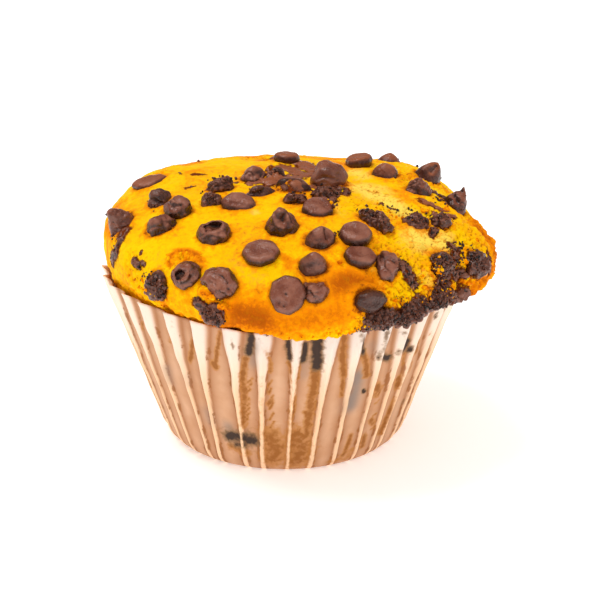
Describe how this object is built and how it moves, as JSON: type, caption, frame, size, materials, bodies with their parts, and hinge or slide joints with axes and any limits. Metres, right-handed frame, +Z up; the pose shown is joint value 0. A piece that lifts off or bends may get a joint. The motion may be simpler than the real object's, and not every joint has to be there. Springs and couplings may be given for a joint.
{
  "type": "chocolate chip muffin in a paper case",
  "caption": "Domed chocolate chip muffin with an uneven crust that spills over one side of its pleated paper baking case.",
  "frame": {"origin": "middle of the flat foot of the paper case, on the surface it stands on", "axes": "+Z up through the crown, -Y towards the front that the picture shows, +X towards the side where the crust spills over the case"},
  "size_m": [0.0825, 0.0842, 0.0587],
  "materials": {
    "crumb": "baked golden cake crumb, matt, browned at the edge",
    "chocolate": "dark chocolate chip, satin with a faint bloom",
    "paper": "thin greaseproof paper, cream, stained by grease where it touches the crumb"
  },
  "bodies": {
    "root": {"muffin": "crumb", "paper_case": "paper", "drop_chip_01": "chocolate", "slab_chip_02": "chocolate", "chunk_chip_03": "chocolate", "drop_chip_04": "chocolate", "chunk_chip_05": "chocolate", "chunk_chip_06": "chocolate", "ring_chip_07": "chocolate", "slab_chip_08": "chocolate", "chunk_chip_09": "chocolate", "ring_chip_10": "chocolate", "slab_chip_11": "chocolate", "chunk_chip_12": "chocolate", "slab_chip_13": "chocolate", "chunk_chip_14": "chocolate", "chunk_chip_15": "chocolate", "ring_chip_16": "chocolate", "button_chip_17": "chocolate", "slab_chip_18": "chocolate", "chunk_chip_19": "chocolate", "drop_chip_20": "chocolate", "button_chip_21": "chocolate", "button_chip_22": "chocolate", "chunk_chip_23": "chocolate", "drop_chip_24": "chocolate", "chunk_chip_25": "chocolate", "button_chip_26": "chocolate", "chunk_chip_27": "chocolate", "drop_chip_28": "chocolate", "button_chip_29": "chocolate", "button_chip_30": "chocolate", "chunk_chip_31": "chocolate", "slab_chip_32": "chocolate", "chunk_chip_33": "chocolate", "button_chip_34": "chocolate", "drop_chip_35": "chocolate", "drop_chip_36": "chocolate", "drop_chip_37": "chocolate", "drop_chip_38": "chocolate", "drop_chip_39": "chocolate", "slab_chip_40": "chocolate", "chunk_chip_41": "chocolate", "slab_chip_42": "chocolate", "slab_chip_43": "chocolate", "chunk_chip_44": "chocolate", "chunk_chip_45": "chocolate", "chunk_chip_46": "chocolate", "slab_chip_47": "chocolate", "slab_chip_48": "chocolate", "slab_chip_49": "chocolate", "ring_chip_50": "chocolate", "slab_chip_51": "chocolate", "slab_chip_52": "chocolate", "slab_chip_53": "chocolate", "button_chip_54": "chocolate", "button_chip_55": "chocolate", "button_chip_56": "chocolate", "button_chip_57": "chocolate", "slab_chip_58": "chocolate"}
  },
  "joints": []
}
